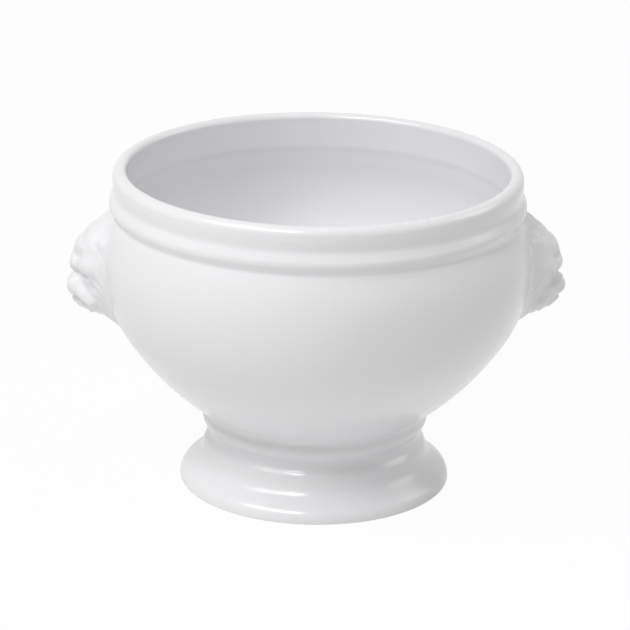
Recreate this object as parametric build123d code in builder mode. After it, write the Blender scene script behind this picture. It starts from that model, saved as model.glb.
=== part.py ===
"""Pedestal soup bowl in white porcelain, with a lion-head boss on each side.

Millimetres, +Z up. The origin is the centre of the foot, on the table. The lion heads
stand out along +X and -X.
"""

import os
from math import asin, cos, degrees, pi, radians, sin

from build123d import *

# Pedestal foot, from the table up
foot_diameter = 83.8
foot_rest_width = 5.0
foot_rest_round = 0.4
foot_edge_height = 1.8
foot_edge_round = 2.0
flare_height = 6.4
flare_fillet = 2.6
step_height = 3.1
step_flare = 0.5
step_projection = 3.5
step_round = 0.9
waist_rise = 4.1
waist_diameter = 63.4
waist_wall = 5.7

# Ring under the belly, and the recess inside it
ring_projection = 3.3
ring_chamfer_height = 4.2
ring_height = 8.8
recess_height = 4.6
recess_round = 1.5

# Belly: an arc about its widest level, with a flatter underside below it
belly_diameter = 131.6
belly_height = 56.2
belly_arc_radius = 41.8
belly_arc_drop = 24.0
belly_wall = 4.5
floor_thickness = 5.8
floor_round = 26.0

# Groove and ledge above the belly, then the collar and its rounded lip
groove_rise = 15.3
ledge_projection = 1.2
ledge_undercut = 1.2
ledge_undercut_round = 0.8
ledge_face = 1.5
ledge_round = 1.6
ledge_slope_height = 3.6
rim_diameter = 125.0
rim_wall = 4.4
collar_height = 7.0
collar_fillet = 2.0

# Lion heads: how far the middle of the head is below the belly's widest level,
# and the mane, whose dome is sunk in the belly and has locks round the face
head_drop = 3.1
mane_radius = 12.8
mane_half_height = 17.7
mane_sink = 5.8
lock_count = 18
lock_radius = 1.8
lock_relief = 0.7
lock_root_angle = 46.0
lock_tip_angle = 66.0

# Each form of a head is a bar with round ends, given by its middle (out from the belly,
# across, up from the middle of the head), its long axis, half length and radius, the
# lengths as shares of the mane's radius. A form off the middle plane has a twin.
head_forms = {
    "crown": ((-0.5, 0.0, 0.445), (0.0, 0.0, 1.0), 0.938, 0.938),
    "mane": ((-mane_sink / mane_radius, 0.0, 0.0), (0.0, 0.0, 1.0), 1.0, 1.0),
    "jaw": ((-0.469, 0.0, -0.469), (0.0, 0.0, 1.0), 0.938, 0.938),
    "forehead": ((0.328, 0.0, 0.43), (2.8, 0.0, -6.0), 0.562, 0.305),
    "nose": ((0.555, 0.0, 0.102), (0.0, 1.0, 0.0), 0.312, 0.227),
    "whisker_pad": ((0.449, 0.379, -0.527), (-4.7, 5.1, -3.5), 0.516, 0.211),
    "chin": ((0.445, 0.0, -0.773), (0.0, 1.0, 0.0), 0.344, 0.234),
    "beard": ((0.187, 0.0, -1.0), (0.0, 1.0, 0.0), 0.312, 0.187),
    "cheek": ((0.062, 0.5, -0.234), (0.0, 0.0, 1.0), 0.437, 0.437),
    "brow": ((0.437, 0.375, 0.594), (-3.4, 6.6, 1.4), 0.312, 0.125),
    "eye": ((0.437, 0.367, 0.359), (0.0, 0.0, 1.0), 0.125, 0.125),
    "ear": ((-0.031, 0.75, 0.648), (0.3, 0.6, 1.0), 0.25, 0.203),
}

# Radii worked out from the sizes above
foot_radius = foot_diameter / 2
foot_inner_radius = foot_radius - foot_rest_width
waist_radius = waist_diameter / 2
hollow_top_radius = waist_radius - waist_wall
step_radius = waist_radius + step_projection
ring_radius = waist_radius + ring_projection
belly_radius = belly_diameter / 2
belly_centre = belly_radius - belly_arc_radius
rim_radius = rim_diameter / 2
inner_radius = rim_radius - rim_wall
lip_radius = rim_wall / 2
ledge_radius = rim_radius + ledge_projection

# Heights above the table
step_bottom = foot_edge_height + flare_height
step_top = step_bottom + step_height
waist_level = step_top + waist_rise
recess_level = waist_level + recess_height
floor_level = recess_level + floor_thickness
ring_level = waist_level + ring_height
belly_level = waist_level + belly_height
head_level = belly_level - head_drop
ledge_bottom = belly_level + groove_rise + ledge_undercut
ledge_top = ledge_bottom + ledge_face
collar_bottom = ledge_top + ledge_slope_height
lip_level = collar_bottom + collar_height - lip_radius


def wall_arc(radius):
    """Draw a belly arc from the groove down to where the flatter underside starts."""
    top = degrees(asin(groove_rise / radius))
    bottom = degrees(asin(belly_arc_drop / belly_arc_radius))
    return CenterArc((belly_centre, belly_level), radius, top, -(top + bottom))


def outer_wall():
    """Draw the outside of the bowl, from the collar down to the joint with the foot."""
    belly = wall_arc(belly_arc_radius)
    FilletPolyline(
        (rim_radius, lip_level),
        (rim_radius, collar_bottom),
        (ledge_radius, ledge_top),
        (ledge_radius, ledge_bottom),
        belly @ 0,
        radius=(collar_fillet, ledge_round, ledge_undercut_round),
    )
    underside = TangentArc(belly @ 1, (ring_radius, ring_level), tangent=belly % 1)
    Polyline(
        underside @ 1,
        (ring_radius, waist_level + ring_chamfer_height),
        (waist_radius, waist_level),
    )


# Bowl: a thrown body with a rounded lip, and a recess under its floor
with BuildPart() as bowl:
    with BuildSketch(Plane.XZ):
        with BuildLine():
            outer_wall()
            lip = ThreePointArc(
                (rim_radius, lip_level),
                (rim_radius - lip_radius, lip_level + lip_radius),
                (inner_radius, lip_level),
            )
            inner_belly = wall_arc(belly_arc_radius - belly_wall)
            FilletPolyline(
                lip @ 1,
                (inner_radius, ledge_bottom),
                inner_belly @ 0,
                radius=ledge_undercut_round,
            )
            slope = inner_belly % 1
            slope_length = ((inner_belly @ 1).Y - floor_level) / -slope.Y
            FilletPolyline(
                inner_belly @ 1,
                inner_belly @ 1 + slope * slope_length,
                (0, floor_level),
                radius=floor_round,
            )
            FilletPolyline(
                (0, floor_level),
                (0, recess_level),
                (hollow_top_radius, recess_level),
                (hollow_top_radius, waist_level),
                (waist_radius, waist_level),
                radius=(0, recess_round, 0),
            )
        make_face()
    revolve(axis=Axis.Z)
bowl.part.label = "bowl"

# Foot: a hollow turned pedestal whose top meets the bowl's ring face to face
foot_corners = (
    ((hollow_top_radius, waist_level), 0),
    ((waist_radius, waist_level), 0),
    ((step_radius, step_top), step_round),
    ((step_radius + step_flare, step_bottom), flare_fillet),
    ((foot_radius, foot_edge_height), foot_edge_round),
    ((foot_radius, 0), foot_rest_round),
    ((foot_inner_radius, 0), foot_rest_round),
    ((foot_inner_radius, foot_edge_height), foot_edge_round),
)
with BuildPart() as pedestal_foot:
    with BuildSketch(Plane.XZ):
        with BuildLine():
            FilletPolyline(
                [corner for corner, rounding in foot_corners],
                radius=[rounding for corner, rounding in foot_corners],
                close=True,
            )
        make_face()
    revolve(axis=Axis.Z)
pedestal_foot.part.label = "pedestal_foot"

# The bowl filled in, which shapes the back of each lion head
with BuildPart() as bowl_form:
    with BuildSketch(Plane.XZ):
        with BuildLine():
            outer_wall()
            Polyline(
                (waist_radius, waist_level),
                (0, waist_level),
                (0, lip_level),
                (rim_radius, lip_level),
            )
        make_face()
    revolve(axis=Axis.Z)


def rounded_form(half_length, radius):
    """Make a bar with round ends about the origin, along Z, or a ball where it has no length."""
    with BuildPart() as form:
        if half_length > radius:
            with BuildSketch(Plane.XZ):
                with BuildLine():
                    top = CenterArc((0, half_length - radius), radius, 90, -90)
                    Line(top @ 1, (radius, radius - half_length))
                    bottom = CenterArc((0, radius - half_length), radius, 0, -90)
                    Line(bottom @ 1, top @ 0)
                make_face()
            revolve(axis=Axis.Z)
        else:
            Sphere(radius)
    return form.part


def head_plane(middle, long_axis):
    """Give the plane of a form of the head at +X, with the form's long axis as its normal."""
    out, across, up = middle
    return Plane(origin=(belly_radius + out, across, head_level + up), z_dir=long_axis)


def mane_point(turn, tilt):
    """Give a point of a lock's centre line: turn goes round the face, tilt away from it."""
    sunk = lock_radius - lock_relief
    out = (mane_radius - sunk) * cos(tilt) - mane_sink
    across = (mane_radius - sunk) * sin(tilt) * cos(turn)
    up = (mane_half_height - sunk) * sin(tilt) * sin(turn)
    return Vector(out, across, up)


# Forms of the face, each with its twin
placed_forms = []
for (out, across, up), axis, half_length, radius in head_forms.values():
    form = rounded_form(half_length * mane_radius, radius * mane_radius)
    middle = Vector(out, across, up) * mane_radius
    placed_forms.append((form, head_plane(middle, axis)))
    if across:
        twin_middle = Vector(out, -across, up) * mane_radius
        twin_axis = (axis[0], -axis[1], axis[2])
        placed_forms.append((form, head_plane(twin_middle, twin_axis)))

# Locks of the mane, lying round the face
for number in range(lock_count):
    turn = 2 * pi * (number + 0.5) / lock_count
    root = mane_point(turn, radians(lock_root_angle))
    tip = mane_point(turn, radians(lock_tip_angle))
    lock = rounded_form((tip - root).length / 2 + lock_radius, lock_radius)
    placed_forms.append((lock, head_plane((root + tip) / 2, tip - root)))

# Lion heads: pressed bosses whose backs follow the belly
with BuildPart() as lion_head_right:
    for form, plane in placed_forms:
        with Locations(plane):
            add(form)
    add(bowl_form.part, mode=Mode.SUBTRACT)
lion_head_right.part.label = "lion_head_right"

with BuildPart() as lion_head_left:
    mirror(lion_head_right.part, about=Plane.YZ)
lion_head_left.part.label = "lion_head_left"

os.makedirs("parts", exist_ok=True)
for piece in (bowl, pedestal_foot, lion_head_left, lion_head_right):
    export_step(piece.part, f"parts/{piece.part.label}.step")
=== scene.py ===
import math

import bmesh
import bpy
import numpy as np
from mathutils import Matrix, Vector


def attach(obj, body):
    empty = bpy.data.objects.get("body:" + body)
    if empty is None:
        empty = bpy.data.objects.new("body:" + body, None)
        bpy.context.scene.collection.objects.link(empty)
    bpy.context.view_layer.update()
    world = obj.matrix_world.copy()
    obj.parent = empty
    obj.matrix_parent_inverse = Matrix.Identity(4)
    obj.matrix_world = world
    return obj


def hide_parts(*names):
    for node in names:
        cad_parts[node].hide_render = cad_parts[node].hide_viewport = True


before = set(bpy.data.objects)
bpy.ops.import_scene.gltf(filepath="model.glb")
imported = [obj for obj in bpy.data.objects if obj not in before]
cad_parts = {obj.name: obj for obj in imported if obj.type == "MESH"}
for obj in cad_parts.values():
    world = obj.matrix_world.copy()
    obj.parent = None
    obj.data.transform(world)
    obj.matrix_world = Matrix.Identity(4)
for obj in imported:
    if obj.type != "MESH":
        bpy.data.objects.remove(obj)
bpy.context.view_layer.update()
scene = bpy.context.scene
mm = 0.001
tiny = 1e-9  # keeps a division off zero
print("frame loaded:", ", ".join(sorted(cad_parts)))


# Small helpers for node trees and meshes

def addNode(tree, kind, **settings):
    node = tree.nodes.new(kind)
    for name, value in settings.items():
        setattr(node, name, value)
    return node


def setInputs(node, **values):
    for name, value in values.items():
        node.inputs[name.replace("_", " ")].default_value = value
    return node


def addMath(tree, operation, *values, clamp=False):
    # each value is a number or the output that gives it
    node = addNode(tree, "ShaderNodeMath", operation=operation, use_clamp=clamp)
    for socket, value in zip(node.inputs, values):
        if isinstance(value, bpy.types.NodeSocket):
            tree.links.new(value, socket)
        else:
            socket.default_value = value
    return node.outputs[0]


def addRange(tree, value, before, after):
    node = addNode(tree, "ShaderNodeMapRange")
    setInputs(node, From_Min=before[0], From_Max=before[1], To_Min=after[0], To_Max=after[1])
    tree.links.new(value, node.inputs["Value"])
    return node.outputs["Result"]


def addNoise(tree, place, **values):
    noise = setInputs(addNode(tree, "ShaderNodeTexNoise"), **values)
    tree.links.new(place.outputs["Object"], noise.inputs["Vector"])
    return noise


def newGroup(name, kind, inputs, outputs):
    tree = bpy.data.node_groups.new(name, kind)
    for way, sockets in (("INPUT", inputs), ("OUTPUT", outputs)):
        for socketName, socketKind in sockets.items():
            tree.interface.new_socket(socketName, in_out=way, socket_type="NodeSocket" + socketKind)
    return tree, tree.nodes.new("NodeGroupInput"), tree.nodes.new("NodeGroupOutput")


def faceOutwards(mesh):
    shape = bmesh.new()
    shape.from_mesh(mesh)
    bmesh.ops.recalc_face_normals(shape, faces=shape.faces)
    shape.to_mesh(mesh)
    shape.free()


# Glaze: one skin of fired glaze shared by the materials

skinLook = {
    "cloudScale": 22.0, "cloudRange": (0.3, 0.7), "cloudDrift": 0.08,
    "patchScale": 85.0, "patchRange": (0.3, 0.75), "patchDull": 0.05,
    "peelScale": 700.0, "peelShare": 0.04,
}


def makeGlazeSkin(look):
    tree, given, result = newGroup(
        "glazeSkin", "ShaderNodeTree",
        {"Glaze": "Color", "Pool": "Color", "Pool Amount": "Float", "Gloss": "Float", "Wave Size": "Float"},
        {"Color": "Color", "Roughness": "Float", "Height": "Float"})
    link = tree.links.new
    place = addNode(tree, "ShaderNodeTexCoord")
    hollow = addNode(tree, "ShaderNodeAttribute", attribute_name="hollow")

    # glaze gathers in hollows with a darker tint that also paints shade into creases and recesses, and its
    # thickness drifts a little over the body
    cloud = addNoise(tree, place, Scale=look["cloudScale"], Detail=2.0, Roughness=0.5)
    drifts = (-look["cloudDrift"], look["cloudDrift"])
    drift = addRange(tree, cloud.outputs["Fac"], look["cloudRange"], drifts)
    gatheredAndShaded = addMath(tree, "MULTIPLY", hollow.outputs["Fac"], given.outputs["Pool Amount"])
    depth = addMath(tree, "ADD", gatheredAndShaded, drift, clamp=True)
    tint = addNode(tree, "ShaderNodeMix", data_type="RGBA")
    link(depth, tint.inputs["Factor"])
    link(given.outputs["Glaze"], tint.inputs["A"])
    link(given.outputs["Pool"], tint.inputs["B"])
    link(tint.outputs["Result"], result.inputs["Color"])

    # faint dulling in patches
    patch = addNoise(tree, place, Scale=look["patchScale"], Detail=3.0, Roughness=0.6)
    dull = addRange(tree, patch.outputs["Fac"], look["patchRange"], (0.0, look["patchDull"]))
    link(addMath(tree, "ADD", dull, given.outputs["Gloss"]), result.inputs["Roughness"])

    # the soft waviness of fired glaze, with a trace of orange peel
    wave = addNoise(tree, place, Detail=1.0, Roughness=0.4)
    link(given.outputs["Wave Size"], wave.inputs["Scale"])
    peel = addNoise(tree, place, Scale=look["peelScale"], Detail=1.0, Roughness=0.4)
    skin = addMath(tree, "MULTIPLY_ADD", peel.outputs["Fac"], look["peelShare"], wave.outputs["Fac"])
    link(skin, result.inputs["Height"])
    return tree


glazeSkin = makeGlazeSkin(skinLook)


def makeGlaze(name, look, bare=None):
    material = bpy.data.materials.new(name)
    material.use_nodes = True
    tree = material.node_tree
    link = tree.links.new
    shader = setInputs(
        tree.nodes["Principled BSDF"], IOR=look["ior"], Subsurface_Weight=look["glow"],
        Subsurface_Radius=look["glowSpread"], Subsurface_Scale=look["glowDepth"] * mm)
    skin = setInputs(
        addNode(tree, "ShaderNodeGroup", node_tree=glazeSkin), Glaze=(*look["glaze"], 1),
        Pool=(*look["gatheredGlazeAndShade"], 1), Pool_Amount=look["gatheredGlazeAndShadeAmount"], Gloss=look["gloss"],
        Wave_Size=look["waveSize"])
    bump = setInputs(addNode(tree, "ShaderNodeBump"), Strength=look["bump"], Distance=look["bumpDepth"] * mm)
    link(skin.outputs["Height"], bump.inputs["Height"])
    link(bump.outputs["Normal"], shader.inputs["Normal"])
    if bare is None:
        link(skin.outputs["Color"], shader.inputs["Base Color"])
        link(skin.outputs["Roughness"], shader.inputs["Roughness"])
        return material

    # the glaze is wiped off the ring that stands in the kiln, up to a ragged edge
    place = addNode(tree, "ShaderNodeTexCoord")
    split = addNode(tree, "ShaderNodeSeparateXYZ")
    link(place.outputs["Object"], split.inputs[0])
    ragged = addNoise(tree, place, Scale=bare["edgeScale"], Detail=2.0)
    edge = addMath(tree, "MULTIPLY_ADD", ragged.outputs["Fac"], -bare["edgeDepth"] * mm, split.outputs["Z"])
    low, high = bare["height"] * mm, (bare["height"] + bare["edgeBlend"]) * mm
    wiped = addRange(tree, edge, (low, high), (1.0, 0.0))
    dryParts = (
        ("RGBA", "Color", "Base Color", (*bare["biscuit"], 1)),
        ("FLOAT", "Roughness", "Roughness", bare["dryness"]),
    )
    for kind, glazed, socket, dry in dryParts:
        mix = addNode(tree, "ShaderNodeMix", data_type=kind)
        mix.inputs["B"].default_value = dry
        link(wiped, mix.inputs["Factor"])
        link(skin.outputs[glazed], mix.inputs["A"])
        link(mix.outputs["Result"], shader.inputs[socket])
    return material


# the second, darker colour is the tint of gathered glaze and also painted shade, darkening creases, grooves
# and recesses
glazeLook = {
    "glaze": (0.84, 0.837, 0.851), "gatheredGlazeAndShade": (0.77, 0.772, 0.8), "gatheredGlazeAndShadeAmount": 0.6,
    "gloss": 0.19, "bump": 0.12, "bumpDepth": 0.2, "waveSize": 45.0, "ior": 1.52,
    "glow": 0.02, "glowDepth": 1.5, "glowSpread": (1.0, 0.9, 0.8),
}
# the heads take more of that darker colour: gathered glaze and more painted shade in their folds
headLook = {**glazeLook, "gatheredGlazeAndShadeAmount": 0.8, "gloss": 0.34, "waveSize": 120.0, "bump": 0.08}
bareRing = {
    "height": 0.0, "edgeScale": 160.0, "edgeDepth": 0.25, "edgeBlend": 0.12,
    "biscuit": (0.82, 0.8, 0.76), "dryness": 0.75,
}
bodyGlaze = makeGlaze("bodyGlaze", glazeLook)
footGlaze = makeGlaze("footGlaze", glazeLook, bareRing)
headGlaze = makeGlaze("headGlaze", headLook)
print("glazes made")


# Turned pieces: a profile of corners with their roundings, spun about Z

latheLook = {"spineRadius": 40.0, "weldGap": 0.002, "sharpAngle": 60}


def makeLatheTree(look):
    tree, given, result = newGroup(
        "lathe", "GeometryNodeTree",
        {"Profile": "Geometry", "Steps Round": "Int", "Steps In Corner": "Int", "Spine Radius": "Float",
         "Glaze": "Material"},
        {"Turned": "Geometry"})
    link = tree.links.new
    outline = addNode(tree, "GeometryNodeMeshToCurve")
    link(given.outputs["Profile"], outline.inputs["Mesh"])
    rounding = addNode(tree, "GeometryNodeInputNamedAttribute", data_type="FLOAT")
    rounding.inputs["Name"].default_value = "rounding"
    fillet = addNode(tree, "GeometryNodeFilletCurve", mode="POLY")
    fillet.inputs["Limit Radius"].default_value = True
    link(outline.outputs["Curve"], fillet.inputs["Curve"])
    link(given.outputs["Steps In Corner"], fillet.inputs["Count"])
    link(rounding.outputs["Attribute"], fillet.inputs["Radius"])
    spine = addNode(tree, "GeometryNodeCurvePrimitiveCircle", mode="RADIUS")
    link(given.outputs["Steps Round"], spine.inputs["Resolution"])
    link(given.outputs["Spine Radius"], spine.inputs["Radius"])
    upright = addNode(tree, "GeometryNodeSetCurveNormal", mode="Z_UP")
    link(spine.outputs["Curve"], upright.inputs["Curve"])
    spin = addNode(tree, "GeometryNodeCurveToMesh")
    link(upright.outputs["Curve"], spin.inputs["Curve"])
    link(fillet.outputs["Curve"], spin.inputs["Profile Curve"])
    weld = addNode(tree, "GeometryNodeMergeByDistance")
    weld.inputs["Distance"].default_value = look["weldGap"] * mm
    link(spin.outputs["Mesh"], weld.inputs["Geometry"])
    smooth = addNode(tree, "GeometryNodeSetShadeSmooth")
    link(weld.outputs["Geometry"], smooth.inputs["Geometry"])
    realize = addNode(tree, "GeometryNodeRealizeInstances")
    link(smooth.outputs["Geometry"], realize.inputs["Geometry"])
    dress = addNode(tree, "GeometryNodeSetMaterial")
    link(realize.outputs["Geometry"], dress.inputs["Geometry"])
    link(given.outputs["Glaze"], dress.inputs["Material"])
    link(dress.outputs["Geometry"], result.inputs["Turned"])
    return tree


latheTree = makeLatheTree(latheLook)


def socketOf(tree, name):
    return next(item.identifier for item in tree.interface.items_tree
                if item.name == name and item.in_out == "INPUT")


def storeHollow(mesh, reach, passes, shortest=0.01):
    # how far each point lies under its neighbours, spread softly: where glaze gathers and where shade is
    # painted
    count = len(mesh.vertices)
    spots = np.empty(count * 3)
    mesh.vertices.foreach_get("co", spots)
    spots = spots.reshape(-1, 3) / mm
    normals = np.empty(count * 3, np.float32)
    mesh.vertex_normals.foreach_get("vector", normals)
    normals = normals.reshape(-1, 3)
    ends = np.empty(len(mesh.edges) * 2, np.int32)
    mesh.edges.foreach_get("vertices", ends)
    first, second = ends.reshape(-1, 2).T
    span = spots[second] - spots[first]
    squares = np.maximum((span ** 2).sum(1), tiny)
    bendFirst = 2 * (span * normals[first]).sum(1) / squares
    bendSecond = -2 * (span * normals[second]).sum(1) / squares
    weight = np.sqrt(squares)
    total = np.zeros(count)
    bend = np.zeros(count)
    for ids, value in ((first, bendFirst), (second, bendSecond)):
        np.add.at(bend, ids, value * weight)
        np.add.at(total, ids, weight)
    bend /= np.maximum(total, tiny)
    value = np.clip(bend * reach, 0, 1)
    near = 1 / np.maximum(squares, shortest)
    for _ in range(passes):
        pull = np.zeros(count)
        share = np.zeros(count)
        for ids, other in ((first, second), (second, first)):
            np.add.at(pull, ids, value[other] * near)
            np.add.at(share, ids, near)
        value = 0.5 * value + 0.5 * pull / np.maximum(share, tiny)
    layer = mesh.attributes.new("hollow", "FLOAT", "POINT")
    layer.data.foreach_set("value", value.astype(np.float32))


def turnPiece(name, corners, glaze, sizes, closed):
    # corners: (radius, height, rounding) in mm; in the spin, -Y is up
    spine = latheLook["spineRadius"]
    mesh = bpy.data.meshes.new(name + "Profile")
    edges = [(i, i + 1) for i in range(len(corners) - 1)]
    if closed:
        edges.append((len(corners) - 1, 0))
    mesh.from_pydata([((radius - spine) * mm, -height * mm, 0) for radius, height, _ in corners], edges, [])
    layer = mesh.attributes.new("rounding", "FLOAT", "POINT")
    layer.data.foreach_set("value", [corner[2] * mm for corner in corners])
    maker = bpy.data.objects.new(name + "Profile", mesh)
    scene.collection.objects.link(maker)
    modifier = maker.modifiers.new("lathe", "NODES")
    modifier.node_group = latheTree
    modifier[socketOf(latheTree, "Steps Round")] = sizes["stepsRound"]
    modifier[socketOf(latheTree, "Steps In Corner")] = sizes["stepsInCorner"]
    modifier[socketOf(latheTree, "Spine Radius")] = spine * mm
    modifier[socketOf(latheTree, "Glaze")] = glaze
    bpy.context.view_layer.update()
    evaluated = maker.evaluated_get(bpy.context.evaluated_depsgraph_get())
    turned = bpy.data.meshes.new_from_object(evaluated)
    maker.modifiers.clear()
    bpy.data.objects.remove(maker)
    turned.name = name
    faceOutwards(turned)
    turned.set_sharp_from_angle(angle=math.radians(latheLook["sharpAngle"]))
    storeHollow(turned, sizes["hollowReach"], sizes["hollowPasses"])
    piece = bpy.data.objects.new(name, turned)
    scene.collection.objects.link(piece)
    return piece


# Bowl

bowlSizes = {
    "rimRadius": 62.4, "rimWall": 4.4, "lipTop": 100.19, "lipOutRound": 2.6, "lipInRound": 1.75,
    "collarLevel": 96.0, "collarRound": 6.0, "coveRadius": 62.1, "coveLevel": 92.9, "coveRound": 3.0,
    "beadRadius": 63.55, "beadTop": 90.0, "beadBottom": 88.8, "beadRound": 2.4,
    "grooveReach": 0.7, "grooveRound": 1.5, "shoulderArc": 33.0, "shoulderTurn": 25.0,
    "bellyRadius": 65.79, "bellyLevel": 71.6, "bellyArc": 41.8, "bellyTurn": 35.05, "underShare": 0.9,
    "innerRadius": 60.6, "innerLevel": 75.5, "innerArc": 33.0, "innerTurn": 12.4, "innerBellyTurn": 30.0,
    "innerReach": 1.2, "innerRound": 12.0, "mouthLean": 0.5,
    "stepTop": 89.4, "stepBottom": 87.4, "stepDepth": 0.5, "stepRound": 6.0,
    "floorLevel": 25.8, "floorRound": 26.0,
    "creaseRadius": 34.6, "creaseLevel": 23.5, "creaseRound": 2.8,
    "ringRadius": 35.2, "ringLevel": 19.5, "ringRound": 4.4,
    "waistRadius": 32.6, "waistTop": 16.4, "waistRound": 2.7, "waistLevel": 15.4,
    "recessRadius": 26.0, "recessLevel": 20.0, "recessRound": 1.5,
    "stepsRound": 192, "stepsInCorner": 20, "hollowReach": 1.5, "hollowPasses": 4,
}


def bulgeCorner(radius, level, arc, turn):
    # an arc that leaves its widest level and turns inwards: its corner, its end and its way there
    angle = math.radians(turn)
    corner = np.array([radius, level + arc * math.tan(angle / 2)])
    end = np.array([radius - arc * (1 - math.cos(angle)), level + arc * math.sin(angle)])
    return corner, end, np.array([-math.sin(abs(angle)), math.copysign(math.cos(angle), angle)])


def bowlCorners(sizes):
    outside = sizes["bellyRadius"], sizes["bellyLevel"]
    inside = sizes["innerRadius"], sizes["innerLevel"], sizes["innerArc"]
    shoulder, shoulderEnd, shoulderWay = bulgeCorner(*outside, sizes["shoulderArc"], sizes["shoulderTurn"])
    belly, bellyEnd, bellyWay = bulgeCorner(*outside, sizes["bellyArc"], -sizes["bellyTurn"])
    inShoulder, inShoulderEnd, inShoulderWay = bulgeCorner(*inside, sizes["innerTurn"])
    inBelly, inBellyEnd, inBellyWay = bulgeCorner(*inside, -sizes["innerBellyTurn"])

    # the underside is one more arc, from the belly's end to the crease above the ring
    crease = np.array([sizes["creaseRadius"], sizes["creaseLevel"]])
    chord = crease - bellyEnd
    along = chord @ bellyWay / (chord @ chord)
    under = bellyEnd + bellyWay / (2 * along)
    underArc = math.sqrt(chord @ chord) / (2 * math.sqrt(1 - along ** 2 * (chord @ chord)))
    slope = inBellyEnd + inBellyWay * (sizes["floorLevel"] - inBellyEnd[1]) / inBellyWay[1]
    mouthRadius = sizes["rimRadius"] - sizes["rimWall"]
    tight = 0.999  # keeps neighbouring roundings just apart
    return [
        (0, sizes["floorLevel"], 0),
        (slope[0], sizes["floorLevel"], sizes["floorRound"]),
        (*inBelly, sizes["innerArc"] * tight),
        (*inShoulder, sizes["innerArc"] * tight),
        (*(inShoulderEnd + inShoulderWay * sizes["innerReach"]), sizes["innerRound"]),
        (mouthRadius + sizes["mouthLean"] + sizes["stepDepth"], sizes["stepBottom"], sizes["stepRound"]),
        (mouthRadius + sizes["mouthLean"], sizes["stepTop"], sizes["stepRound"]),
        (mouthRadius, sizes["lipTop"], sizes["lipInRound"]),
        (sizes["rimRadius"], sizes["lipTop"], sizes["lipOutRound"]),
        (sizes["rimRadius"], sizes["collarLevel"], sizes["collarRound"]),
        (sizes["coveRadius"], sizes["coveLevel"], sizes["coveRound"]),
        (sizes["beadRadius"], sizes["beadTop"], sizes["beadRound"]),
        (sizes["beadRadius"], sizes["beadBottom"], sizes["beadRound"]),
        (*(shoulderEnd + shoulderWay * sizes["grooveReach"]), sizes["grooveRound"]),
        (*shoulder, sizes["shoulderArc"] * tight),
        (*belly, sizes["bellyArc"] * tight),
        (*under, underArc * sizes["underShare"]),
        (*crease, sizes["creaseRound"]),
        (sizes["ringRadius"], sizes["ringLevel"], sizes["ringRound"]),
        (sizes["waistRadius"], sizes["waistTop"], sizes["waistRound"]),
        (sizes["waistRadius"], sizes["waistLevel"], 0),
        (sizes["recessRadius"], sizes["waistLevel"], 0),
        (sizes["recessRadius"], sizes["recessLevel"], sizes["recessRound"]),
        (0, sizes["recessLevel"], 0),
    ]


bowl = turnPiece("bowlBody", bowlCorners(bowlSizes), bodyGlaze, bowlSizes, closed=False)
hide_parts("bowl")
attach(bowl, "root")
print("bowl turned:", len(bowl.data.polygons), "faces")


# Pedestal foot, which meets the bowl at the waist

footSizes = {
    "waistRadius": bowlSizes["waistRadius"], "waistLevel": bowlSizes["waistLevel"],
    "hollowTopRadius": bowlSizes["recessRadius"], "waistBottom": 14.2, "waistRound": 3.1,
    "stepRadius": 34.5, "stepTop": 12.1, "stepRound": 5.7, "stepFlare": 0.8, "stepBottom": 7.9,
    "flareRound": 6.8,
    "footRadius": 41.9, "edgeHeight": 2.7, "edgeRound": 4.6, "restWidth": 5.0, "restRound": 0.4,
    "innerEdgeHeight": 1.8, "innerEdgeRound": 2.0,
    "stepsRound": 192, "stepsInCorner": 10, "hollowReach": 1.5, "hollowPasses": 4,
}


def footCorners(sizes):
    innerRadius = sizes["footRadius"] - sizes["restWidth"]
    return [
        (sizes["hollowTopRadius"], sizes["waistLevel"], 0),
        (sizes["waistRadius"], sizes["waistLevel"], 0),
        (sizes["waistRadius"], sizes["waistBottom"], sizes["waistRound"]),
        (sizes["stepRadius"], sizes["stepTop"], sizes["stepRound"]),
        (sizes["stepRadius"] + sizes["stepFlare"], sizes["stepBottom"], sizes["flareRound"]),
        (sizes["footRadius"], sizes["edgeHeight"], sizes["edgeRound"]),
        (sizes["footRadius"], 0, sizes["restRound"]),
        (innerRadius, 0, sizes["restRound"]),
        (innerRadius, sizes["innerEdgeHeight"], sizes["innerEdgeRound"]),
    ]


foot = turnPiece("footBody", footCorners(footSizes), footGlaze, footSizes, closed=True)
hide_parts("pedestal_foot")
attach(foot, "root")
print("foot turned:", len(foot.data.polygons), "faces")


# Lion heads: one sculpted form, pressed on each side

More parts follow.
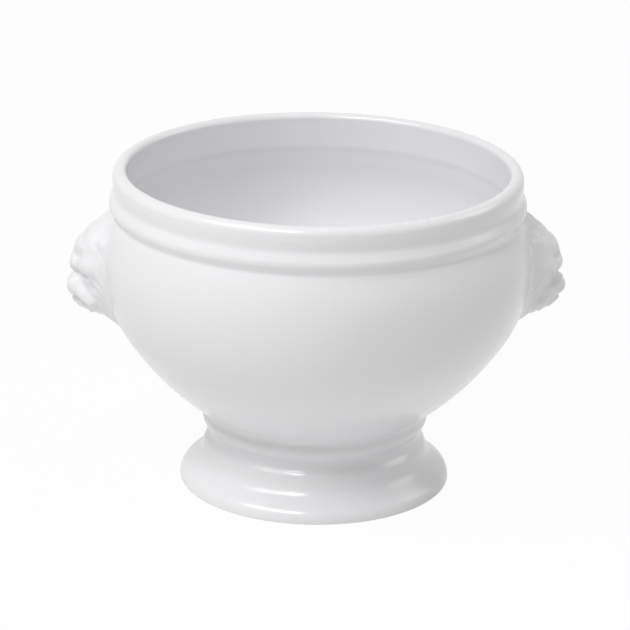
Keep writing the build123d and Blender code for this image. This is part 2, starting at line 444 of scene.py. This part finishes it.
# points are (out from the belly, across, up from the head's middle) in mm
# a form is its name, points, radii and blend with what is there already, and off the middle it has a twin
lionHead = {
    "middle": (bowlSizes["bellyRadius"], 0.0, 68.5), "proud": 0.02, "root": 4.6,
    "columns": 231, "rows": 291, "soften": 4, "sunk": 0.2, "sideFade": 0.75, "topFade": 0.95,
    "backDepth": 1.6, "backLoops": 6, "backShrink": 0.985, "hollowReach": 0.8, "hollowPasses": 8,
    "rays": {
        # they fan out from a point inside the belly, and each is walked from its far end
        "eyePoint": (-12.0, 0.0, -2.0), "side": 1.8, "up": 2.45, "down": 3.0, "level": 0.18,
        "start": 34.0, "steps": 100, "stepBack": 0.5, "stepIn": 3.0, "stepShare": 0.75, "close": 0.0005,
    },
    "mane": {
        "middle": (-5.8, 0, 0), "dome": (11.9, 12.1, 16.9), "chinDome": 17.0,
        "faceTilt": 34, "flowTilt": 45, "flowLimit": 1.3, "fall": 30, "fallBend": 1.4,
        "ripple": 4, "ripples": 6, "rippleShift": 3,
        "rows": [
            # locks on a side and their shift, tilt where the tips start, length of the tips (degrees), height
            {"locks": 9, "shift": 0.2, "tilt": 46, "tip": 12, "height": 0.85},
            {"locks": 10, "shift": 0.7, "tilt": 58, "tip": 13, "height": 0.6},
            {"locks": 11, "shift": 0.35, "tilt": 73, "tip": 13, "height": 0.32},
        ],
        "tipBend": 1.4, "groove": 0.32, "strands": 3, "strandDepth": 0.05, "edge": 5.0,
        "fadeTilt": (56, 86), "chinFade": 0.85, "chinRange": (0.2, 0.7),
    },
    "forms": [
        ("forehead", [(1.4, 0, 9.6), (5.0, 0, 3.4)], [3.3, 3.8], 2.0),
        ("temple", [(1.4, 4.8, 8.0), (2.4, 5.6, 3.0)], [3.8, 4.0], 3.0),
        ("cheek", [(2.2, 5.4, 1.8)], [(4.5, 4.6, 3.8)], 2.5),
        ("jaw", [(1.6, 2.8, -9.0)], [(5.0, 4.8, 4.4)], 2.0),
        ("noseBridge", [(5.3, 1.3, 8.2), (7.8, 1.5, 2.2)], [1.9, 1.9], 0.9),
        ("noseTop", [(8.3, 0, 1.5), (7.9, 2.6, 1.6)], [1.7, 1.5], 0.5),
        ("noseTip", [(8.3, 0, 0.0)], [(1.6, 1.8, 1.5)], 0.6),
        ("noseWing", [(7.1, 3.2, 1.2)], [(1.8, 1.2, 1.3)], 0.5),
        ("muzzle", [(5.0, 0, -4.6)], [(4.4, 4.0, 4.4)], 1.2),
        ("whiskerPad", [(8.05, 2.1, -5.5)], [(2.85, 2.2, 3.3)], 0.6),
        ("jowl", [(6.7, 3.1, -6.4), (4.9, 5.0, -7.9), (3.2, 6.9, -9.4)], [2.3, 2.1, 1.5], 1.0),
        ("lowerLip", [(7.7, 0, -9.7), (5.4, 2.7, -10.9)], [1.8, 1.5], 0.6),
        ("chin", [(5.2, 0, -11.4)], [(2.4, 2.4, 2.1)], 0.9),
        ("beard", [(4.2, 0, -11.9), (2.8, 0, -13.6)], [1.7, 1.5], 0.8),
        ("beardSide", [(3.0, 2.2, -11.6), (0.6, 2.8, -13.4)], [1.4, 1.1], 0.8),
        ("brow", [(7.3, 1.3, 6.6), (6.4, 3.4, 7.7), (5.2, 5.4, 7.7)], [0.6, 0.9, 0.7], 1.9),
        ("ear", [(-0.9, 8.9, 8.6), (-0.5, 9.3, 9.8)], [1.3, 1.1], 1.4),
    ],
    "cuts": [
        ("eyeSocket", [(7.5, 3.2, 4.4), (6.4, 6.0, 5.2)], [0.75, 0.7], 1.1),
        ("browFurrow", [(7.6, 0.0, 10.6), (8.7, 0.0, 6.8)], [0.5, 0.35], 0.9),
        ("noseFold", [(10.1, 0, -1.7), (8.5, 3.4, -1.5), (6.4, 6.1, -1.2), (4.4, 8.2, -0.5)],
         [0.4, 0.95, 0.95, 0.6], 1.2),
        ("padFold", [(8.5, 4.5, -3.4), (6.2, 6.8, -4.4), (3.0, 9.6, -4.9)], [0.3, 0.8, 1.2], 1.0),
        ("nostril", [(9.6, 1.5, 0.0), (8.8, 2.9, 0.5)], [0.5, 0.35], 0.45),
        ("philtrum", [(10.4, 0, -1.8), (10.4, 0, -7.6)], [0.45, 0.5], 0.6),
        ("mouth", [(9.4, 0, -8.5), (7.2, 3.2, -9.3), (4.8, 5.8, -10.9)], [0.45, 0.5, 0.5], 0.7),
        ("earHollow", [(1.0, 9.4, 8.8), (0.9, 9.8, 9.8)], [0.55, 0.5], 0.7),
    ],
    "eyes": [
        ("eyeball", [(4.7, 4.7, 4.8)], [(2.0, 2.0, 1.5)], 0.2),
        ("upperLid", [(6.8, 2.9, 4.2), (6.6, 4.3, 5.8), (5.0, 6.6, 5.7)], [0.4, 0.55, 0.4], 0.3),
        ("lowerLid", [(6.8, 2.9, 4.1), (6.3, 4.6, 3.6), (5.0, 6.5, 4.9)], [0.35, 0.45, 0.35], 0.3),
    ],
    "pupils": [("pupil", [(6.85, 4.4, 4.8)], [(0.6, 0.5, 0.55)], 0.3)],
    "whiskers": {
        "rows": ((0.9, -3.9), (1.2, -5.2), (1.6, -6.5)), "dots": 4, "step": (1.15, -0.75), "radius": 0.34,
        "padShare": 0.8, "proud": 0.12, "blend": 0.25,
    },
}


def smoothStep(value, start, end):
    share = np.clip((value - start) / (end - start), 0, 1)
    return share * share * (3 - 2 * share)


def softUnion(one, other, blend):
    share = np.clip(0.5 + 0.5 * (other - one) / blend, 0, 1)
    return other + (one - other) * share - blend * share * (1 - share)


def formDistance(spots, points, radii, barBlend=0.3):
    # one point makes an egg shape, and more make a bar with round ends
    if len(points) == 1:
        stretch = np.array(radii[0], float)
        scaled = (spots - points[0]) / stretch
        near = np.sqrt((scaled ** 2).sum(1))
        far = np.sqrt(((scaled / stretch) ** 2).sum(1))
        return near * (near - 1) / np.maximum(far, tiny)
    nearest = None
    for start, end, startRadius, endRadius in zip(points, points[1:], radii, radii[1:]):
        start, run = np.array(start, float), np.subtract(end, start)
        share = np.clip((spots - start) @ run / (run @ run), 0, 1)
        away = spots - start - share[:, None] * run
        gap = np.sqrt((away ** 2).sum(1)) - startRadius - (endRadius - startRadius) * share
        nearest = gap if nearest is None else softUnion(nearest, gap, barBlend)
    return nearest


def maneDistance(spots, mane):
    # rows of overlapping locks that flow back from the face and fall to the sides
    low = spots[:, 2] < 0
    dome = np.array(mane["dome"])
    spots = spots - mane["middle"]
    spots[:, 2] *= np.where(low, dome[2] / mane["chinDome"], 1.0)
    way = spots / dome
    tilt = np.degrees(np.arctan2(np.hypot(way[:, 1], way[:, 2]), way[:, 0]))
    turn = np.degrees(np.arctan2(way[:, 2], way[:, 1]))
    back = np.clip((tilt - mane["faceTilt"]) / mane["flowTilt"], 0, mane["flowLimit"])
    fall = mane["fall"] * back ** mane["fallBend"] * np.cos(np.radians(turn))
    ripple = mane["ripple"] * np.sin(np.radians(mane["ripples"] * turn) + mane["rippleShift"] * back)
    flow = turn + fall + ripple
    height = np.zeros(len(spots))
    for row in mane["rows"]:
        part = (flow + 90) / 180 * row["locks"] + row["shift"]
        side = np.abs(2 * (part - np.floor(part)) - 1)
        crest = 1 - side ** 2
        tipEdge = row["tilt"] + row["tip"] * (1 - side ** mane["tipBend"])
        inside = smoothStep(tipEdge - tilt, 0, mane["edge"])
        strand = mane["strandDepth"] * (1 - np.abs(np.sin(math.pi * mane["strands"] * side)))
        lock = row["height"] - mane["groove"] * (1 - crest) - strand
        height = np.maximum(height, lock * inside)
    height *= 1 - smoothStep(tilt, *mane["fadeTilt"])  # the locks sink into the bowl, and most under the chin
    height *= 1 - mane["chinFade"] * smoothStep(-way[:, 2], *mane["chinRange"])
    return formDistance(spots, [(0, 0, 0)], [dome]) - height


def whiskerDistance(spots, whiskers, pad):
    # shallow pricks in rows over the pads, each on the pad's skin
    nearest = np.full(len(spots), 1e3)
    padMiddle, padRadii = pad[1][0], pad[2][0]
    for firstAcross, firstUp in whiskers["rows"]:
        for number in range(whiskers["dots"]):
            across = firstAcross + number * whiskers["step"][0]
            up = firstUp + number * whiskers["step"][1]
            flat = ((across - padMiddle[1]) / padRadii[1]) ** 2 + ((up - padMiddle[2]) / padRadii[2]) ** 2
            if flat < whiskers["padShare"]:
                out = padMiddle[0] + padRadii[0] * math.sqrt(1 - flat)
                away = spots - (out + whiskers["proud"], across, up)
                nearest = np.minimum(nearest, np.sqrt((away ** 2).sum(1)) - whiskers["radius"])
    return nearest


def bellyDistance(spots):
    widest, _, middleLevel = lionHead["middle"]
    out = np.hypot(spots[:, 0] + widest, spots[:, 1])
    rise = spots[:, 2] + middleLevel - bowlSizes["bellyLevel"]
    arc = np.where(rise > 0, bowlSizes["shoulderArc"], bowlSizes["bellyArc"])
    return np.hypot(out - widest + arc, rise) - arc


def backDistance(spots):
    return bellyDistance(spots) + lionHead["backDepth"]


def addForms(gap, spots, forms):
    for _, points, radii, blend in forms:
        gap = softUnion(gap, formDistance(spots, points, radii), blend)
    return gap


def headDistance(spots):
    # a cut is a form added to the outside; both halves of the face share one set of forms
    folded = np.column_stack((spots[:, 0], np.abs(spots[:, 1]), spots[:, 2]))
    pad = next(form for form in lionHead["forms"] if form[0] == "whiskerPad")
    gap = addForms(maneDistance(folded, lionHead["mane"]), folded, lionHead["forms"])
    gap = -addForms(-gap, folded, lionHead["cuts"])
    gap = addForms(gap, folded, lionHead["eyes"])
    gap = -addForms(-gap, folded, lionHead["pupils"])
    dots = whiskerDistance(folded, lionHead["whiskers"], pad)
    gap = -softUnion(-gap, dots, lionHead["whiskers"]["blend"])
    return softUnion(gap, bellyDistance(spots) - lionHead["proud"], lionHead["root"])


def rayWays(across, up):
    rays = lionHead["rays"]
    upSlope = rays["up"] * up * (1 + rays["level"] * across ** 2)
    slope = np.where(up > 0, upSlope, rays["down"] * up)
    ways = np.column_stack((np.ones(across.size), rays["side"] * across, slope))
    return ways / np.linalg.norm(ways, axis=1)[:, None]


def castRays(ways, distance):
    # walk in from outside along each ray until the form is met
    rays = lionHead["rays"]
    eye = np.array(rays["eyePoint"])
    reach = np.full(len(ways), rays["start"])
    moving = np.arange(len(ways))
    for _ in range(rays["steps"]):
        gap = distance(eye + ways[moving] * reach[moving, None])
        reach[moving] -= np.clip(gap, -rays["stepBack"], rays["stepIn"]) * rays["stepShare"]
        moving = moving[np.abs(gap) > rays["close"]]
        if not moving.size:
            break
    return eye + ways * reach[:, None]


def sculptHead(sizes):
    eye = sizes["rays"]["eyePoint"]
    columns, rows = sizes["columns"], sizes["rows"]
    halfColumns = columns // 2 + 1
    across, up = np.meshgrid(np.linspace(0, 1, halfColumns), np.linspace(-1, 1, rows))
    half = castRays(rayWays(across.ravel(), up.ravel()), headDistance)
    reach = np.linalg.norm(half - eye, axis=1).reshape(rows, halfColumns)
    reach = np.concatenate((reach[:, :0:-1], reach), axis=1)
    for _ in range(sizes["soften"]):  # the glaze rounds every edge a little
        reach[1:-1] = (reach[:-2] + 2 * reach[1:-1] + reach[2:]) / 4
        reach[:, 1:-1] = (reach[:, :-2] + 2 * reach[:, 1:-1] + reach[:, 2:]) / 4

    # towards its rim the head runs out into the belly and slips under its skin
    across, up = np.meshgrid(np.linspace(-1, 1, columns), np.linspace(-1, 1, rows))
    ways = rayWays(across.ravel(), up.ravel())
    body = castRays(ways, bellyDistance)
    bodyReach = np.linalg.norm(body - eye, axis=1).reshape(rows, columns)
    fadeAcross = smoothStep(np.abs(across), sizes["sideFade"], 1)
    fadeUp = smoothStep(np.abs(up), np.where(up > 0, sizes["topFade"], sizes["sideFade"]), 1)
    fade = np.maximum(fadeAcross, fadeUp)
    reach = bodyReach + (reach - bodyReach) * (1 - fade) - sizes["sunk"] * fade
    front = eye + ways * reach.reshape(-1, 1)
    index = np.arange(rows * columns).reshape(rows, columns)
    squares = (index[:-1, :-1], index[:-1, 1:], index[1:, 1:], index[1:, :-1])
    faces = np.stack(squares, axis=-1).reshape(-1, 4).tolist()

    # the back follows the belly inside its wall, in loops that close on its middle
    edge = np.concatenate((index[0, :-1], index[:-1, -1], index[-1, :0:-1], index[:0:-1, 0]))
    edgeAcross = np.concatenate((np.linspace(-1, 1, columns)[:-1], np.ones(rows - 1),
                                 np.linspace(1, -1, columns)[:-1], -np.ones(rows - 1)))
    edgeUp = np.concatenate((-np.ones(columns - 1), np.linspace(-1, 1, rows)[:-1],
                             np.ones(columns - 1), np.linspace(1, -1, rows)[:-1]))
    points = [front]
    start = len(front)
    previous = edge
    for loop in range(sizes["backLoops"]):
        shrink = sizes["backShrink"] * (1 - loop / sizes["backLoops"])
        points.append(castRays(rayWays(edgeAcross * shrink, edgeUp * shrink), backDistance))
        ids = np.arange(start, start + edge.size)
        following, nextIds = np.roll(previous, -1), np.roll(ids, -1)
        faces += np.stack((following, previous, ids, nextIds), axis=-1).tolist()
        previous, start = ids, start + edge.size
    points.append(castRays(rayWays(np.zeros(1), np.zeros(1)), backDistance))
    faces += [(int(following), int(this), start) for this, following in zip(previous, np.roll(previous, -1))]
    return np.concatenate(points), faces


headPoints, headFaces = sculptHead(lionHead)
print("lion head sculpted:", len(headFaces), "faces")
for side, name in ((1, "lionHeadRight"), (-1, "lionHeadLeft")):
    mesh = bpy.data.meshes.new(name)
    spots = (headPoints + lionHead["middle"]) * (side, 1, 1) * mm
    mesh.from_pydata(spots.tolist(), [], headFaces)
    mesh.validate()
    mesh.shade_smooth()
    faceOutwards(mesh)
    mesh.materials.append(headGlaze)
    storeHollow(mesh, lionHead["hollowReach"], lionHead["hollowPasses"])
    head = bpy.data.objects.new(name, mesh)
    scene.collection.objects.link(head)
    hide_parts("lion_head_right" if side > 0 else "lion_head_left")
    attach(head, "root")
print("lion heads pressed on")


# Stage, light and camera

def seenRays(tree):
    # 1 for rays that show the background: straight, mirrored or through a clear body
    rays = addNode(tree, "ShaderNodeLightPath")
    seen = rays.outputs["Is Camera Ray"]
    for name in ("Is Glossy Ray", "Is Transmission Ray"):
        seen = addMath(tree, "ADD", seen, rays.outputs[name], clamp=True)
    return seen


stageLook = {"floorSize": 3.0, "floorColor": (0.9, 0.9, 0.9), "roughness": 0.9, "shadowShare": 0.05}


def makeStage(look):
    mesh = bpy.data.meshes.new("table")
    half = look["floorSize"] / 2
    corners = [(-half, -half, 0), (half, -half, 0), (half, half, 0), (-half, half, 0)]
    mesh.from_pydata(corners, [], [(0, 1, 2, 3)])
    table = bpy.data.objects.new("table", mesh)
    scene.collection.objects.link(table)
    material = bpy.data.materials.new("tableTop")
    material.use_nodes = True
    tree = material.node_tree
    link = tree.links.new
    shader = setInputs(
        tree.nodes["Principled BSDF"], Base_Color=(*look["floorColor"], 1), Roughness=look["roughness"],
        Specular_IOR_Level=0.0)
    white = addNode(tree, "ShaderNodeEmission")
    mix = addNode(tree, "ShaderNodeMixShader")
    link(addMath(tree, "MULTIPLY", seenRays(tree), 1 - look["shadowShare"]), mix.inputs[0])
    link(shader.outputs[0], mix.inputs[1])
    link(white.outputs[0], mix.inputs[2])
    link(mix.outputs[0], tree.nodes["Material Output"].inputs["Surface"])
    mesh.materials.append(material)


makeStage(stageLook)

skyLook = {"light": 0.35, "background": 1.0}


def makeSky(look):
    world = bpy.data.worlds.new("studio")
    scene.world = world
    world.use_nodes = True
    tree = world.node_tree
    tree.nodes.clear()
    link = tree.links.new
    soft = setInputs(addNode(tree, "ShaderNodeBackground"), Strength=look["light"])
    plain = setInputs(addNode(tree, "ShaderNodeBackground"), Color=(1, 1, 1, 1), Strength=look["background"])
    mix = addNode(tree, "ShaderNodeMixShader")
    link(seenRays(tree), mix.inputs[0])
    link(soft.outputs[0], mix.inputs[1])
    link(plain.outputs[0], mix.inputs[2])
    out = addNode(tree, "ShaderNodeOutputWorld")
    link(mix.outputs[0], out.inputs["Surface"])


makeSky(skyLook)

lampLook = {
    "aim": (0, 0, 0.06), "distance": 1.1,
    "lamps": {
        # turn from the front towards the right and rise in degrees, size in metres, power in watts
        "key": {"turn": -28, "rise": 50, "size": 0.28, "power": 3.5},
        "left": {"turn": -62, "rise": 52, "size": 0.6, "power": 4.4},
        "top": {"turn": 0, "rise": 86, "size": 0.5, "power": 0.8},
        "right": {"turn": 100, "rise": 30, "size": 0.6, "power": 1.9},
    },
}


def turnedWay(turn, rise):
    turn, rise = math.radians(turn), math.radians(rise)
    return Vector((math.sin(turn) * math.cos(rise), -math.cos(turn) * math.cos(rise), math.sin(rise)))


for lampName, look in lampLook["lamps"].items():
    lamp = bpy.data.lights.new(lampName, "AREA")
    lamp.shape = "DISK"
    lamp.size = look["size"]
    lamp.energy = look["power"]
    holder = bpy.data.objects.new(lampName, lamp)
    scene.collection.objects.link(holder)
    way = turnedWay(look["turn"], look["rise"])
    holder.location = Vector(lampLook["aim"]) + way * lampLook["distance"]
    holder.rotation_euler = (-way).to_track_quat("-Z", "Y").to_euler()

cameraLook = {
    "turn": -3.2, "rise": 19.52, "distance": 0.9475, "target": (0, 0, 0.0501), "roll": 0.884,
    "offset": (-0.00038, 0.00207), "lens": 175.4, "sensor": 36, "clip": (0.01, 20),
}


def makeCamera(look):
    data = bpy.data.cameras.new("camera")
    data.sensor_width = look["sensor"]
    data.lens = look["lens"]
    data.clip_start, data.clip_end = look["clip"]
    camera = bpy.data.objects.new("camera", data)
    scene.collection.objects.link(camera)
    back = turnedWay(look["turn"], look["rise"])
    turn = (-back).to_track_quat("-Z", "Y").to_matrix()
    right, up = turn.col[0], turn.col[1]
    aim = Vector(look["target"]) + right * look["offset"][0] + up * look["offset"][1]
    turn = turn @ Matrix.Rotation(math.radians(look["roll"]), 3, "Z")
    camera.matrix_world = Matrix.Translation(aim + back * look["distance"]) @ turn.to_4x4()
    scene.camera = camera


makeCamera(cameraLook)
scene.view_settings.view_transform = "Standard"
print("stage, lamps and camera set")
